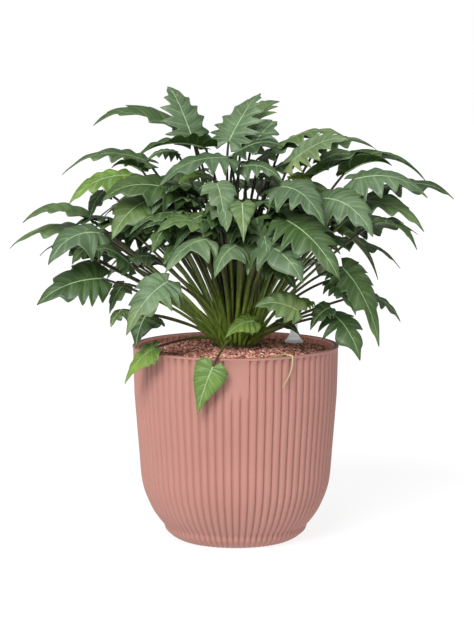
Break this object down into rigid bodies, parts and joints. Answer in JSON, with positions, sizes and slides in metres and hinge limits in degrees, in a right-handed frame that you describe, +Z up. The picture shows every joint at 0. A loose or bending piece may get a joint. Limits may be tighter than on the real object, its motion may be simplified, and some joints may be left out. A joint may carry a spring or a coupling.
{
  "type": "potted philodendron",
  "caption": "Bushy philodendron with feather-cut leaves on fanned petioles, growing from clay granules in a fluted pot with a water level indicator.",
  "frame": {"origin": "centre of the pot's flat bottom", "axes": "+Z up along the pot's axis, -Y towards the front of the pot, where its plain label patch is, +X to the right seen from the front"},
  "size_m": [0.642, 0.435, 0.652],
  "materials": {
    "pot": "matte",
    "granules": "matte",
    "roots": "matte",
    "crown": "matte",
    "clear_plastic": "gloss",
    "float": "satin",
    "pale_root": "matte",
    "leaf_light": "satin",
    "leaf_mid": "satin",
    "leaf_dark": "satin",
    "leaf_young": "satin"
  },
  "bodies": {
    "root": {"pot": "pot", "granule_bed": "granules", "root_ball": "roots", "crown": "crown", "indicator_tube": "clear_plastic", "indicator_collar": "clear_plastic", "indicator_float": "float", "indicator_cap": "clear_plastic", "aerial_root": "pale_root", "leaf_01": "leaf_light", "leaf_02": "leaf_mid", "leaf_03": "leaf_dark", "leaf_04": "leaf_light", "leaf_05": "leaf_light", "leaf_06": "leaf_mid", "leaf_07": "leaf_light", "leaf_08": "leaf_dark", "leaf_09": "leaf_mid", "leaf_10": "leaf_light", "leaf_11": "leaf_mid", "leaf_12": "leaf_mid", "leaf_13": "leaf_dark", "leaf_14": "leaf_light", "leaf_15": "leaf_dark", "leaf_16": "leaf_mid", "leaf_17": "leaf_mid", "leaf_18": "leaf_light", "leaf_19": "leaf_light", "leaf_20": "leaf_mid", "leaf_21": "leaf_light", "leaf_22": "leaf_light", "leaf_23": "leaf_light", "leaf_24": "leaf_light", "leaf_25": "leaf_mid", "leaf_26": "leaf_dark", "leaf_27": "leaf_mid", "leaf_28": "leaf_young", "leaf_29": "leaf_dark", "leaf_30": "leaf_mid", "leaf_31": "leaf_mid", "leaf_32": "leaf_light", "leaf_33": "leaf_dark", "leaf_34": "leaf_dark", "leaf_35": "leaf_light", "leaf_36": "leaf_dark", "leaf_37": "leaf_young", "leaf_38": "leaf_young", "leaf_39": "leaf_young", "leaf_40": "leaf_mid", "leaf_41": "leaf_dark", "leaf_42": "leaf_dark", "leaf_43": "leaf_mid", "leaf_44": "leaf_mid", "leaf_45": "leaf_dark", "leaf_46": "leaf_mid", "leaf_47": "leaf_light", "leaf_48": "leaf_mid", "leaf_49": "leaf_dark", "leaf_50": "leaf_mid", "leaf_51": "leaf_dark"}
  },
  "joints": []
}
